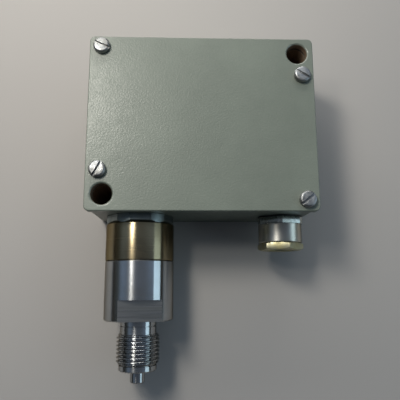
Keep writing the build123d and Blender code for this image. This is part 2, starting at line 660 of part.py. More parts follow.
# Terminal block: a stepped strip, open to the wires below and to the screws from the front
TERMINAL_TOP = BOARD_TOP + TERMINAL_H
TERMINAL_POINTS = [
    (TERMINAL_X + (i - (TERMINAL_POLES - 1) / 2) * TERMINAL_PITCH, TERMINAL_Y)
    for i in range(TERMINAL_POLES)
]
with BuildPart() as terminal_block:
    with BuildSketch(Plane.XY.offset(BOARD_TOP)) as terminal_outline:
        with Locations((TERMINAL_X, TERMINAL_Y)):
            Rectangle(TERMINAL_L, TERMINAL_DEPTH)
    extrude(amount=TERMINAL_H)
    with BuildSketch(Plane.XY.offset(TERMINAL_TOP)) as terminal_step_outline:
        with Locations((TERMINAL_X, TERMINAL_Y - TERMINAL_DEPTH / 2)):
            Rectangle(2 * TERMINAL_L, TERMINAL_STEP, align=(Align.CENTER, Align.MIN))
    extrude(amount=-TERMINAL_STEP, mode=Mode.SUBTRACT)
    with BuildSketch(Plane.XY.offset(TERMINAL_TOP)) as terminal_shaft_outline:
        with Locations(*TERMINAL_POINTS):
            Circle(TERMINAL_SCREW_D / 2 + THREAD_GAP)
    extrude(amount=-(TERMINAL_SINK + TERMINAL_SCREW_L), mode=Mode.SUBTRACT)
    with BuildSketch(
        Plane(
            origin=(0, TERMINAL_Y - TERMINAL_DEPTH / 2, BOARD_TOP + TERMINAL_H / 3),
            x_dir=(1, 0, 0),
            z_dir=(0, -1, 0),
        )
    ) as terminal_mouth_outline:
        with Locations(*[(x, 0) for x, y in TERMINAL_POINTS]):
            Rectangle(TERMINAL_WIRE_HOLE, TERMINAL_WIRE_HOLE)
    extrude(amount=-0.75 * TERMINAL_DEPTH, mode=Mode.SUBTRACT)

terminal_block.part.label = "terminal_block"
export_step(terminal_block.part, "parts/terminal_block.step")

with BuildPart() as terminal_screws:
    with BuildSketch(Plane.XY.offset(TERMINAL_TOP - TERMINAL_SINK)) as terminal_screw_outline:
        with Locations(*TERMINAL_POINTS):
            Circle(TERMINAL_SCREW_D / 2)
    extrude(amount=-TERMINAL_SCREW_L)
    with BuildSketch(Plane.XY.offset(TERMINAL_TOP - TERMINAL_SINK)) as terminal_slot_outline:
        with Locations(*TERMINAL_POINTS):
            Rectangle(2 * TERMINAL_SCREW_D, SLOT_W / 2)
    extrude(amount=-SLOT_DEPTH, mode=Mode.SUBTRACT)

terminal_screws.part.label = "terminal_screws"
export_step(terminal_screws.part, "parts/terminal_screws.step")

with BuildPart() as lead_header:
    with BuildSketch(Plane.XY.offset(BOARD_TOP)) as header_outline:
        with Locations((HEADER_X, HEADER_Y)):
            Rectangle(HEADER_L, HEADER_W)
    extrude(amount=HEADER_H)
    chamfer(lead_header.edges().group_by(Axis.Z)[-1], 0.5)

lead_header.part.label = "lead_header"
export_step(lead_header.part, "parts/lead_header.step")

with BuildPart() as amplifier_chip:
    with BuildSketch(Plane.XY.offset(BOARD_TOP)) as chip_outline:
        with Locations((CHIP_X, BOARD_Y + CHIP_RISE)):
            Rectangle(CHIP_L, CHIP_W)
    extrude(amount=CHIP_H)
    chamfer(amplifier_chip.edges().group_by(Axis.Z)[-1], 0.5)

amplifier_chip.part.label = "amplifier_chip"
export_step(amplifier_chip.part, "parts/amplifier_chip.step")

with BuildPart() as capacitors:
    with BuildSketch(Plane.XY.offset(BOARD_TOP)) as capacitor_outline:
        with Locations((CAPACITOR_X, BOARD_Y + CAPACITOR_RISE)):
            with GridLocations(CAPACITOR_PITCH, 0, 2, 1):
                Circle(CAPACITOR_D / 2)
    extrude(amount=CAPACITOR_H)
    fillet(capacitors.edges().group_by(Axis.Z)[-1], CAPACITOR_D / 10)

capacitors.part.label = "capacitors"
export_step(capacitors.part, "parts/capacitors.step")

# Earth terminal on its pad
EARTH_SEAT = FLOOR_T + EARTH_PAD_H
with BuildPart() as earth_washer:
    with BuildSketch(Plane.XY.offset(EARTH_SEAT)) as earth_washer_outline:
        with Locations((EARTH_X, EARTH_Y)):
            Circle(EARTH_WASHER_D / 2)
            Circle(EARTH_SCREW_D / 2 + BOARD_HOLE_GAP, mode=Mode.SUBTRACT)
    extrude(amount=EARTH_WASHER_T)

earth_washer.part.label = "earth_washer"
export_step(earth_washer.part, "parts/earth_washer.step")

with BuildPart() as earth_screw:
    with BuildSketch(Plane.XY.offset(EARTH_SEAT + EARTH_WASHER_T)) as earth_head_outline:
        with Locations((EARTH_X, EARTH_Y)):
            Circle(SCREW_HEAD_D / 2)
    extrude(amount=SCREW_HEAD_H)
    fillet(earth_screw.edges().group_by(Axis.Z)[-1], SCREW_HEAD_EDGE_R)
    with BuildSketch(Plane.XY.offset(EARTH_SEAT + EARTH_WASHER_T)) as earth_shank_outline:
        with Locations((EARTH_X, EARTH_Y)):
            Circle(EARTH_SCREW_D / 2)
    extrude(amount=-EARTH_SCREW_L)
    with BuildSketch(
        Plane.XY.offset(EARTH_SEAT + EARTH_WASHER_T + SCREW_HEAD_H)
    ) as earth_slot_outline:
        with Locations((EARTH_X, EARTH_Y)):
            Rectangle(2 * SCREW_HEAD_D, SLOT_W)
    extrude(amount=-SLOT_DEPTH, mode=Mode.SUBTRACT)

earth_screw.part.label = "earth_screw"
export_step(earth_screw.part, "parts/earth_screw.step")

# Cable gland, from the wall outwards
with BuildPart() as gland_gasket:
    with BuildSketch(GLAND_FACE) as gland_gasket_outline:
        Circle(GLAND_HEX_AF / 2)
        Circle(GLAND_THREAD_D / 2 + THREAD_GAP, mode=Mode.SUBTRACT)
    extrude(amount=GLAND_GASKET_T)

gland_gasket.part.label = "gland_gasket"
export_step(gland_gasket.part, "parts/gland_gasket.step")

with BuildPart() as gland_body:
    with BuildSketch(GLAND_FACE.offset(GLAND_GASKET_T)) as gland_hex_outline:
        RegularPolygon(GLAND_HEX_AF / 2, 6, major_radius=False, rotation=30 - GLAND_HEX_TURN)
        Circle(GLAND_HEX_AF / 2 + GLAND_HEX_LAND, mode=Mode.INTERSECT)
    extrude(amount=GLAND_HEX_H)
    with BuildSketch(GLAND_FACE.offset(GLAND_GASKET_T)) as gland_thread_outline:
        Circle(GLAND_THREAD_D / 2)
    extrude(amount=-(BOSS_T + GLAND_GASKET_T))
    with BuildSketch(GLAND_FACE.offset(GLAND_HEX_END)) as gland_barrel_outline:
        Circle(GLAND_BARREL_D / 2)
    extrude(amount=GLAND_BARREL_L)
    chamfer(gland_body.edges().sort_by(Axis.Y)[0], GLAND_BARREL_EDGE)
    with BuildSketch(GLAND_FACE.offset(GLAND_BARREL_END)) as gland_seat_outline:
        Circle(GLAND_SEAT_D / 2)
    extrude(amount=-GLAND_SEAT_DEPTH, mode=Mode.SUBTRACT)
    with BuildSketch(GLAND_FACE.offset(-BOSS_T)) as gland_bore_outline:
        Circle(GLAND_BORE_D / 2)
    extrude(amount=BOSS_T + GLAND_SEAT_FLOOR, mode=Mode.SUBTRACT)

gland_body.part.label = "gland_body"
export_step(gland_body.part, "parts/gland_body.step")

with BuildPart() as gland_washers:
    for station in (GLAND_SEAT_FLOOR, GLAND_SEAL_END):
        with BuildSketch(GLAND_FACE.offset(station)) as gland_washer_outline:
            Circle(GLAND_SEAT_D / 2 - GLAND_RING_GAP)
            Circle(GLAND_BORE_D / 2, mode=Mode.SUBTRACT)
        extrude(amount=GLAND_WASHER_T)

gland_washers.part.label = "gland_washers"
export_step(gland_washers.part, "parts/gland_washers.step")

with BuildPart() as gland_seal:
    with BuildSketch(GLAND_FACE.offset(GLAND_SEAL_START)) as gland_seal_outline:
        Circle(GLAND_SEAT_D / 2 - GLAND_RING_GAP)
        Circle(GLAND_SEAL_BORE_D / 2, mode=Mode.SUBTRACT)
    extrude(amount=GLAND_SEAL_L)

gland_seal.part.label = "gland_seal"
export_step(gland_seal.part, "parts/gland_seal.step")

# Pressure screw: its head is a hexagon whose corners are turned off at a slant on both faces
with BuildPart() as gland_screw:
    with BuildSketch(GLAND_FACE.offset(GLAND_BARREL_END)) as gland_head_outline:
        RegularPolygon(
            GLAND_SCREW_AF / 2, 6, major_radius=False, rotation=30 - GLAND_SCREW_TURN
        )
    extrude(amount=GLAND_SCREW_HEAD_H)
    with BuildSketch(GLAND_SECTION) as gland_turned_section:
        with BuildLine() as gland_turned_profile:
            Polyline(
                (0, GLAND_BARREL_END),
                (GLAND_SCREW_AF / 2 - 0.2, GLAND_BARREL_END),
                (GLAND_SCREW_AF / 2 + 2 * GLAND_SCREW_CHAMFER, GLAND_BARREL_END + GLAND_SCREW_CHAMFER),
                (GLAND_SCREW_AF / 2 + 2 * GLAND_SCREW_CHAMFER, GLAND_SCREW_END - GLAND_SCREW_CHAMFER),
                (GLAND_SCREW_AF / 2 - 0.2, GLAND_SCREW_END),
                (0, GLAND_SCREW_END),
                close=True,
            )
        make_face()
    revolve(axis=GLAND_AXIS, mode=Mode.INTERSECT)
    with BuildSketch(GLAND_FACE.offset(GLAND_BARREL_END)) as gland_screw_thread_outline:
        Circle(GLAND_SEAT_D / 2 - THREAD_GAP)
    extrude(amount=-(GLAND_BARREL_END - GLAND_SCREW_TIP))
    with BuildSketch(GLAND_FACE.offset(GLAND_SCREW_TIP)) as gland_screw_bore_outline:
        Circle(GLAND_BORE_D / 2)
    extrude(amount=GLAND_SCREW_END - GLAND_SCREW_TIP, mode=Mode.SUBTRACT)
    mouth = (
        gland_screw.edges()
        .filter_by(GeomType.CIRCLE)
        .filter_by(lambda edge: abs(edge.radius - GLAND_BORE_D / 2) < 0.01)
        .sort_by(Axis.Y)[0]
    )
    fillet(mouth, GLAND_MOUTH_R)

gland_screw.part.label = "gland_screw"
export_step(gland_screw.part, "parts/gland_screw.step")
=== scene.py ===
# %% [markdown]
# # A wall-mounted pressure transmitter
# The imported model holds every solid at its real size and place, in metres. This script never moves
# them. It gives each one the finish of the real piece, models the pieces whose surface needs more
# than a solid can show, such as the pipe thread, and sets up a plain studio round them.

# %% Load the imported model
import math

import bpy
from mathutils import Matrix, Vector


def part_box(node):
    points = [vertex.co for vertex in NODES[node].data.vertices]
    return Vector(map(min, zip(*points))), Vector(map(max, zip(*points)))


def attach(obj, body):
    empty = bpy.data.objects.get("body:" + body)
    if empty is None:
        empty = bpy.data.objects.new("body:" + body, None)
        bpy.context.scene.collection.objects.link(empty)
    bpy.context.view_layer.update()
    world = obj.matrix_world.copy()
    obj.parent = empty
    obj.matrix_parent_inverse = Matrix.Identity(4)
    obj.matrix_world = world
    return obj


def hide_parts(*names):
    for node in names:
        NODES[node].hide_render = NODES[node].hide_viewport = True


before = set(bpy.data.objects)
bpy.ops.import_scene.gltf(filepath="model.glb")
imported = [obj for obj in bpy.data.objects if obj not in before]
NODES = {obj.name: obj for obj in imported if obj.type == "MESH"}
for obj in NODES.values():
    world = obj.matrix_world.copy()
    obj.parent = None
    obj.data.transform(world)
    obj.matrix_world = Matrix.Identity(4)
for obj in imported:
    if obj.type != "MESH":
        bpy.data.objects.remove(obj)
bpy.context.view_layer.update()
MM = 0.001

# %% [markdown]
# ## Where things are
# A few places are needed again and again: the axis of the pressure connection, the axis of the
# cable gland, and the outer face of the lower wall that both leave. They are read from the solids,
# so they follow them if the model changes.


# %% Read the main places from the solids
def centre_of(name):
    low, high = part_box(name)
    return [(a + b) / 2 for a, b in zip(low, high)]


WALL_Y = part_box("housing")[0][1]
PORT_X, _, PORT_Z = centre_of("process_connection")
GLAND_X, _, GLAND_Z = centre_of("gland_seal")
print("wall", WALL_Y, "port axis", PORT_X, PORT_Z, "gland axis", GLAND_X, GLAND_Z)

# %% [markdown]
# ## The camera
# The photograph looks almost straight down at the transmitter as it lies on its back. The lens and
# the place of the camera were fitted to the corners of the cover and to the turned pieces, because
# a wrong distance would show the lower wall and the side of the screws at the wrong height.

# %% Add the camera
camera_data = bpy.data.cameras.new("photo_camera")
camera_data.sensor_width = 36.0
camera_data.lens = 40.352
camera_data.clip_start = 0.01
camera = bpy.data.objects.new("photo_camera", camera_data)
bpy.context.collection.objects.link(camera)
camera.location = (-0.00832, -0.07572, 0.24703)
camera.rotation_euler = [math.radians(angle) for angle in (10.3715, -1.921, -0.2203)]
bpy.context.scene.camera = camera
print("camera at", tuple(camera.location), "lens", camera_data.lens)

# %% [markdown]
# ## Making materials
# Every finish below is built from a handful of nodes. Three helpers keep those cells short. The
# first adds a node and sets its options, the second links two sockets, and the third starts a
# material with the colour, roughness and metallic value of its shader.


# %% Helpers for nodes
def add_node(material, kind, **values):
    node = material.node_tree.nodes.new(kind)
    for name, value in values.items():
        setattr(node, name, value)
    return node


def join(material, output, target):
    material.node_tree.links.new(output, target)


def start_material(name, colour, roughness, metallic=0.0):
    material = bpy.data.materials.new(name)
    material.use_nodes = True
    shader = material.node_tree.nodes["Principled BSDF"]
    shader.inputs["Base Color"].default_value = (*colour, 1.0)
    shader.inputs["Roughness"].default_value = roughness
    shader.inputs["Metallic"].default_value = metallic
    return material, shader


# %% [markdown]
# Colour, roughness and relief follow noise patterns. They read Object coordinates, which are metres
# here, so a noise scale of 1000 has features about a millimetre wide, and the pattern stays fixed
# to the piece. One helper makes the noise. One maps its values, which lie mostly between 0.3 and
# 0.7, to the range that a socket needs. One blends two colours. The last two use them: one lays
# stains over a colour where the noise is high, and one varies the roughness.


# %% Helpers for patterns
MIX_FACTOR, MIX_FIRST, MIX_SECOND, MIX_RESULT = 0, 6, 7, 2  # colour sockets of the Mix node


def object_noise(material, scale, detail=2.0, stretch=(1.0, 1.0, 1.0)):
    place = add_node(material, "ShaderNodeTexCoord")
    mapping = add_node(material, "ShaderNodeMapping")
    mapping.inputs["Scale"].default_value = stretch
    noise = add_node(material, "ShaderNodeTexNoise")
    noise.inputs["Scale"].default_value = scale
    noise.inputs["Detail"].default_value = detail
    join(material, place.outputs["Object"], mapping.inputs["Vector"])
    join(material, mapping.outputs["Vector"], noise.inputs["Vector"])
    return noise.outputs["Fac"]


def remap(material, value, low, high, to_low, to_high):
    node = add_node(material, "ShaderNodeMapRange")
    limits = {"From Min": low, "From Max": high, "To Min": to_low, "To Max": to_high}
    for name, number in limits.items():
        node.inputs[name].default_value = number
    join(material, value, node.inputs["Value"])
    return node.outputs["Result"]


def mix_colours(material, factor, first, second):
    node = add_node(material, "ShaderNodeMix", data_type="RGBA")
    join(material, factor, node.inputs[MIX_FACTOR])
    for index, colour in ((MIX_FIRST, first), (MIX_SECOND, second)):
        if isinstance(colour, bpy.types.NodeSocket):
            join(material, colour, node.inputs[index])
        else:
            node.inputs[index].default_value = (*colour, 1.0)
    return node.outputs[MIX_RESULT]


def add_stains(material, pattern, colour, stain, start, full, most):
    share = remap(material, pattern, start, full, 0.0, most)
    return mix_colours(material, share, colour, stain)


def vary_roughness(material, shader, pattern, smoothest, roughest):
    uneven = remap(material, pattern, 0.3, 0.7, smoothest, roughest)
    join(material, uneven, shader.inputs["Roughness"])


# %% [markdown]
# Shade falls in corners and grooves and beside the screw heads, and one helper paints it into the
# colour.
# The Ambient Occlusion node tells how open each point of a surface is: 0 is shut in and 1 is open.
# Up to one openness the surface has the colour of the painted shade, from a second one on it keeps
# its own colour, and between them the two blend. The last helper makes fine relief of a pattern with
# a Bump node.


# %% Helpers for painted shade and relief
def paint_shade_in_corners(material, unshaded, shade_colour, reach, shaded_to, unshaded_from):
    # Painted shade: the colour darkens where the surface is shut in.
    corners = add_node(material, "ShaderNodeAmbientOcclusion", samples=8)
    corners.inputs["Distance"].default_value = reach
    openness = remap(material, corners.outputs["AO"], shaded_to, unshaded_from, 0.0, 1.0)
    return mix_colours(material, openness, shade_colour, unshaded)


def add_bump(material, shader, height, depth):
    bump = add_node(material, "ShaderNodeBump")
    bump.inputs["Distance"].default_value = depth
    join(material, height, bump.inputs["Height"])
    join(material, bump.outputs["Normal"], shader.inputs["Normal"])
    return bump


# %% [markdown]
# ## Enamel on the box and the lid
# The box is a casting with a coat of grey-green enamel. Sprayed enamel dries with orange peel,
# which is a fine, shallow waviness less than a millimetre across. It only shows where the surface
# mirrors a light, so it is bump under a thin glossy coat and not a pattern in the colour. The coat
# ends at the mounting bores, which are brown inside. Box and lid are one mesh each, so the bores
# are found by their distance from the two bore axes.


# %% Enamel material
MOUNT_BORES = [(47.0 * MM, 35.5 * MM), (-47.0 * MM, -35.5 * MM)]
BORE_R = 5.0 * MM
BROWN_TO = BORE_R + 0.03 * MM
ENAMEL_FROM = BORE_R + 0.10 * MM
BORE_BROWN = (0.190, 0.135, 0.092)
# Colour of the painted shade in the corners of the enamel.
CORNER_SHADE_COLOUR = (0.025, 0.018, 0.012)
CORNER_REACH = 4.0 * MM
CLOUD_SCALE = 35.0
WEAR_SCALE = 180.0
PEEL_SCALE = 1250.0


def inside_bores(material):
    place = add_node(material, "ShaderNodeTexCoord")
    nearest = add_node(material, "ShaderNodeMath", operation="MINIMUM")
    for socket, (x, y) in zip(nearest.inputs, MOUNT_BORES):
        offset = add_node(material, "ShaderNodeVectorMath", operation="SUBTRACT")
        offset.inputs[1].default_value = (x, y, 0.0)
        across = add_node(material, "ShaderNodeVectorMath", operation="MULTIPLY")
        across.inputs[1].default_value = (1.0, 1.0, 0.0)
        distance = add_node(material, "ShaderNodeVectorMath", operation="LENGTH")
        join(material, place.outputs["Object"], offset.inputs[0])
        join(material, offset.outputs[0], across.inputs[0])
        join(material, across.outputs[0], distance.inputs[0])
        join(material, distance.outputs["Value"], socket)
    return remap(material, nearest.outputs[0], BROWN_TO, ENAMEL_FROM, 1.0, 0.0)


def make_enamel(name, colour, roughness, peel_depth, gloss=0.22):
    material, shader = start_material(name, colour, roughness)
    cloud = object_noise(material, CLOUD_SCALE, detail=3.0)
    lighter = [channel * 1.06 for channel in colour]
    darker = [channel * 0.95 for channel in colour]
    unshaded = add_stains(material, cloud, darker, lighter, start=0.35, full=0.65, most=1.0)
    # Painted shade: in corners and beside the screw heads the enamel darkens towards a dark brown.
    coat = paint_shade_in_corners(
        material, unshaded, CORNER_SHADE_COLOUR, CORNER_REACH, shaded_to=0.15, unshaded_from=0.60
    )
    finish = mix_colours(material, inside_bores(material), coat, BORE_BROWN)
    join(material, finish, shader.inputs["Base Color"])
    wear = object_noise(material, WEAR_SCALE, detail=4.0)
    vary_roughness(material, shader, wear, roughness - 0.04, roughness + 0.06)
    shader.inputs["Coat Weight"].default_value = gloss
    shader.inputs["Coat Roughness"].default_value = 0.2
    bump = add_bump(material, shader, object_noise(material, PEEL_SCALE), peel_depth)
    join(material, bump.outputs["Normal"], shader.inputs["Coat Normal"])
    return material


LID_GREEN = (0.180, 0.206, 0.172)
# The box has the lid's enamel, painted darker: painted shade on its lower wall.
SHADED_BOX_GREEN = (0.160, 0.186, 0.150)
COVER_ENAMEL = make_enamel("cover_enamel", LID_GREEN, 0.43, 0.09 * MM)
RIM_ENAMEL = make_enamel("rim_enamel", LID_GREEN, 0.36, 0.02 * MM, gloss=1.0)
SHADED_BOX_ENAMEL = make_enamel("box_enamel_painted_shade", SHADED_BOX_GREEN, 0.44, 0.04 * MM)
print("enamel:", COVER_ENAMEL.name, RIM_ENAMEL.name, SHADED_BOX_ENAMEL.name)

# %% [markdown]
# ## Turned steel
# A lathe leaves fine grooves that run round the piece. They are too fine to see one by one, but
# they smear every reflection across themselves: on a turned bar that is along its axis, which
# gives the long narrow highlights in the photograph. The shader can do this when it knows which
# way the grooves run, and that is the direction round the axis, worked out here from the position.
# A quarter turn then makes the smear run across them. A noise that is stretched round the axis and
# fine along it adds the slightly uneven marks of the tool. The thread and every step get painted
# shade: there the colour darkens towards a darker tone of the stain.


# %% Turned metal material
STAIN_SCALE = 90.0
MARK_SCALE = 100.0
ROUND_MARKS = (0.05, 30.0, 0.05)
GROOVE_DEPTH = 0.0001 * MM
EDGE_TINT = (0.50, 0.46, 0.40, 1.0)
QUARTER_TURN = 0.25
# How dark the painted shade in the thread and the steps is, and how far it reaches.
CORNER_SHADE_FACTOR = 0.36
CORNER_SHADE_REACH = 0.8 * MM


def round_axis(material, axis_x, axis_z):
    place = add_node(material, "ShaderNodeTexCoord")
    outwards = add_node(material, "ShaderNodeVectorMath", operation="SUBTRACT")
    outwards.inputs[1].default_value = (axis_x, 0.0, axis_z)
    flatten = add_node(material, "ShaderNodeVectorMath", operation="MULTIPLY")
    flatten.inputs[1].default_value = (1.0, 0.0, 1.0)
    across = add_node(material, "ShaderNodeVectorMath", operation="CROSS_PRODUCT")
    across.inputs[1].default_value = (0.0, 1.0, 0.0)
    unit = add_node(material, "ShaderNodeVectorMath", operation="NORMALIZE")
    join(material, place.outputs["Object"], outwards.inputs[0])
    join(material, outwards.outputs[0], flatten.inputs[0])
    join(material, flatten.outputs[0], across.inputs[0])
    join(material, across.outputs[0], unit.inputs[0])
    return unit.outputs[0]


def make_turned(name, axis, colour, stain, roughness, smear=0.95):
    material, shader = start_material(name, colour, roughness, metallic=1.0)
    patches = object_noise(material, STAIN_SCALE, detail=4.0)
    unshaded = add_stains(material, patches, colour, stain, start=0.42, full=0.68, most=0.6)
    # Painted shade: in the thread and in every step the colour darkens towards a darker tone of the
    # stain.
    shade_colour = [channel * CORNER_SHADE_FACTOR for channel in stain]
    shaded_metal = paint_shade_in_corners(material, unshaded, shade_colour, CORNER_SHADE_REACH, shaded_to=0.10, unshaded_from=0.65)
    join(material, shaded_metal, shader.inputs["Base Color"])
    streaks = object_noise(material, MARK_SCALE, detail=3.0, stretch=ROUND_MARKS)
    vary_roughness(material, shader, streaks, roughness * 0.96, roughness * 1.06)
    shader.inputs["Specular Tint"].default_value = EDGE_TINT
    shader.inputs["Anisotropic"].default_value = smear
    shader.inputs["Anisotropic Rotation"].default_value = QUARTER_TURN
    join(material, round_axis(material, *axis), shader.inputs["Tangent"])
    add_bump(material, shader, streaks, GROOVE_DEPTH)
    return material


# %% [markdown]
# ## Plated and milled metal
# Plated pieces and screws have no such direction. They are metal with blotches of duller plate, and
# a fine grain in both roughness and relief. A milled face has straight tool marks across it, so its
# noise is stretched across the axis of the piece and fine along it.


# %% Plated and milled metal materials
BLOTCH_SCALE = 160.0
SMUDGE_SCALE = 60.0
FINE_GRAIN = 0.002 * MM


def make_metal(name, colour, stain, roughness, grain_depth=FINE_GRAIN, grain=700.0):
    material, shader = start_material(name, colour, roughness, metallic=1.0)
    patches = object_noise(material, BLOTCH_SCALE, detail=4.0)
    plate = add_stains(material, patches, colour, stain, start=0.40, full=0.66, most=0.8)
    join(material, plate, shader.inputs["Base Color"])
    scuffs = object_noise(material, grain, detail=4.0)
    vary_roughness(material, shader, scuffs, roughness * 0.75, roughness * 1.30)
    add_bump(material, shader, scuffs, grain_depth)
    return material


def make_milled(name, colour, stain, roughness, marks):
    material, shader = start_material(name, colour, roughness, metallic=1.0)
    smudges = object_noise(material, SMUDGE_SCALE, detail=3.0, stretch=marks)
    steel = add_stains(material, smudges, colour, stain, start=0.40, full=0.66, most=0.8)
    join(material, steel, shader.inputs["Base Color"])
    streaks = object_noise(material, MARK_SCALE, detail=3.0, stretch=marks)
    vary_roughness(material, shader, streaks, roughness * 0.85, roughness * 1.15)
    add_bump(material, shader, streaks, FINE_GRAIN)
    return material


# %% [markdown]
# With these three helpers each metal of the transmitter is one call: its clean colour, the colour
# of its stains, its roughness, and the depth and fineness of its grain. The sleeve is browner than
# the steel body below it, the wrench flats are duller, and the screws have the coarse grain of
# heads that were often turned.

# %% Metals of the transmitter
PORT_AXIS = (PORT_X, PORT_Z)
GLAND_AXIS = (GLAND_X, GLAND_Z)
FLAT_MARKS = (0.5, 14.0, 0.5)
SLEEVE_STEEL = make_turned(
    "brown_turned_steel", PORT_AXIS, (0.335, 0.282, 0.180), (0.24, 0.19, 0.115), 0.26
)
BODY_STEEL = make_turned(
    "bright_turned_steel", PORT_AXIS, (0.46, 0.48, 0.50), (0.40, 0.41, 0.40), 0.21
)
GLAND_TURNED = make_turned(
    "gland_turned", GLAND_AXIS, (0.66, 0.65, 0.60), (0.56, 0.51, 0.38), 0.40, smear=0.75
)
FLAT_STEEL = make_milled(
    "wrench_flat_steel", (0.48, 0.48, 0.47), (0.40, 0.40, 0.37), 0.30, FLAT_MARKS
)
GLAND_PLATE = make_metal(
    "gland_dull_plate", (0.46, 0.44, 0.31), (0.38, 0.34, 0.18), 0.44, 0.04 * MM
)
GLAND_HEXAGON = make_metal(
    "gland_hexagon", (0.50, 0.53, 0.52), (0.40, 0.41, 0.37), 0.30, 0.0005 * MM
)
SCREW_STEEL = make_metal(
    "screw_zinc_plate", (0.42, 0.435, 0.445), (0.17, 0.17, 0.16), 0.46, 0.12 * MM, 800.0
)
COLLAR_METAL = make_metal("collar_metal", (0.25, 0.29, 0.29), (0.17, 0.19, 0.18), 0.36)
INNER_STEEL = make_metal("inner_bright_steel", (0.55, 0.55, 0.54), (0.45, 0.45, 0.43), 0.28)
TURNED = (SLEEVE_STEEL, BODY_STEEL, GLAND_TURNED)
OTHER_METALS = (FLAT_STEEL, GLAND_PLATE, GLAND_HEXAGON, SCREW_STEEL, COLLAR_METAL, INNER_STEEL)
print("metals:", [metal.name for metal in TURNED + OTHER_METALS])

# %% [markdown]
# ## Rubber and plastics
# The seals are black moulded rubber with a dull, slightly grainy skin. The parts on the board are
# moulded plastic. A fine noise in colour and roughness and a very shallow bump keep them from
# looking like flat paint.


# %% Moulded materials
MOTTLE_SCALE = 400.0
SKIN_SCALE = 3000.0


def make_moulded(name, colour, roughness, grain_depth):
    material, shader = start_material(name, colour, roughness)
    noise = object_noise(material, MOTTLE_SCALE, detail=3.0)
    mottle = remap(material, noise, 0.35, 0.65, 0.0, 1.0)
    paler = [channel * 1.15 for channel in colour]
    join(material, mix_colours(material, mottle, colour, paler), shader.inputs["Base Color"])
    uneven = remap(material, mottle, 0.0, 1.0, roughness - 0.05, roughness + 0.05)
    join(material, uneven, shader.inputs["Roughness"])
    add_bump(material, shader, object_noise(material, SKIN_SCALE), grain_depth)
    return material


RUBBER = make_moulded("rubber_black", (0.018, 0.018, 0.018), 0.62, 0.010 * MM)
BOARD_LAMINATE = make_moulded("board_laminate", (0.012, 0.095, 0.035), 0.34, 0.004 * MM)
DARK_PLASTIC = make_moulded("dark_moulding", (0.022, 0.022, 0.025), 0.45, 0.006 * MM)
GREY_PLASTIC = make_moulded("grey_moulding", (0.25, 0.26, 0.27), 0.42, 0.006 * MM)
LEAD_PLASTIC = make_moulded("lead_insulation", (0.35, 0.03, 0.02), 0.35, 0.003 * MM)
MOULDED = (RUBBER, BOARD_LAMINATE, DARK_PLASTIC, GREY_PLASTIC, LEAD_PLASTIC)
print("moulded:", [material.name for material in MOULDED])

# %% [markdown]
# ## Finish of each solid
# Each solid of the model gets the material that its real piece has. Its mesh stays as it is: only
# the material slot changes.

# %% Give the solids their materials
FINISHES = {
    COVER_ENAMEL: ("cover",),
    # The housing's enamel is darker than the lid's, which is painted shade.
    SHADED_BOX_ENAMEL: ("housing",),
    SLEEVE_STEEL: ("sleeve",),
    BODY_STEEL: ("process_connection",),
    COLLAR_METAL: ("sensor_carrier",),
    GLAND_PLATE: ("gland_body", "gland_screw"),
    SCREW_STEEL: ("cover_screws",),
    INNER_STEEL: (
        "port_nozzle", "sensing_cell", "clamp_ring", "board_screws", "terminal_screws",
        "earth_screw", "earth_washer", "gland_washers",
    ),
    RUBBER: (
        "cover_gasket", "carrier_oring", "cell_oring", "lead_grommet", "gland_gasket",
        "gland_seal",
    ),
    BOARD_LAMINATE: ("circuit_board",),
    DARK_PLASTIC: ("lead_header", "amplifier_chip", "capacitors"),
    GREY_PLASTIC: ("terminal_block",),
    LEAD_PLASTIC: ("sensor_leads",),
}
for material, names in FINISHES.items():
    for name in names:
        NODES[name].data.materials.clear()
        NODES[name].data.materials.append(material)
print("solids with a finish:", sum(len(names) for names in FINISHES.values()))

# %% [markdown]
# ## Tools for modelling
# Operators act on whatever is selected, and the loaded solids are selected, so a small helper first
# clears the selection and picks the one object that the next operator should work on. The others
# run steps on a whole mesh in Edit Mode, apply modifiers, copy a solid and weld its faces together,
# take a tool away from a piece, bevel its sharp edges, smooth it, and hide the solids it replaces
# while attaching it to the root.

# %% Helpers for operators
WELD = 0.001 * MM


def pick(piece):
    bpy.ops.object.select_all(action="DESELECT")
    piece.select_set(True)
    bpy.context.view_layer.objects.active = piece


def edit_all(piece, *steps):
    pick(piece)
    bpy.ops.object.mode_set(mode="EDIT")
    bpy.ops.mesh.select_all(action="SELECT")
    for step in steps:
        step()
    bpy.ops.object.mode_set(mode="OBJECT")


def settle(piece):
    pick(piece)
    for modifier in list(piece.modifiers):
        bpy.ops.object.modifier_apply(modifier=modifier.name)
    bpy.ops.object.transform_apply(location=True, rotation=True, scale=True)


def copy_of_solid(name, new_name):
    piece = bpy.data.objects.new(new_name, NODES[name].data.copy())
    bpy.context.collection.objects.link(piece)
    pick(piece)
    bpy.ops.mesh.customdata_custom_splitnormals_clear()
    edit_all(piece, lambda: bpy.ops.mesh.remove_doubles(threshold=WELD))
    return piece


def subtract(piece, tool):
    cut = piece.modifiers.new("cut", "BOOLEAN")
    cut.operation = "DIFFERENCE"
    cut.solver = "EXACT"
    cut.object = tool
    settle(piece)
    bpy.data.objects.remove(tool)


def soften_edges(piece, width, over=25.0):
    bevel = piece.modifiers.new("soft_edges", "BEVEL")
    bevel.width = width
    bevel.segments = 2
    bevel.limit_method = "ANGLE"
    bevel.angle_limit = math.radians(over)
    bevel.use_clamp_overlap = True
    settle(piece)


def smooth(piece, angle):
    pick(piece)
    bpy.ops.object.shade_smooth_by_angle(angle=math.radians(angle))


def hand_in(piece, slot, *nodes):
    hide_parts(*nodes)
    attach(piece, "root")
    print(piece.name, "has", len(piece.data.polygons), "faces")


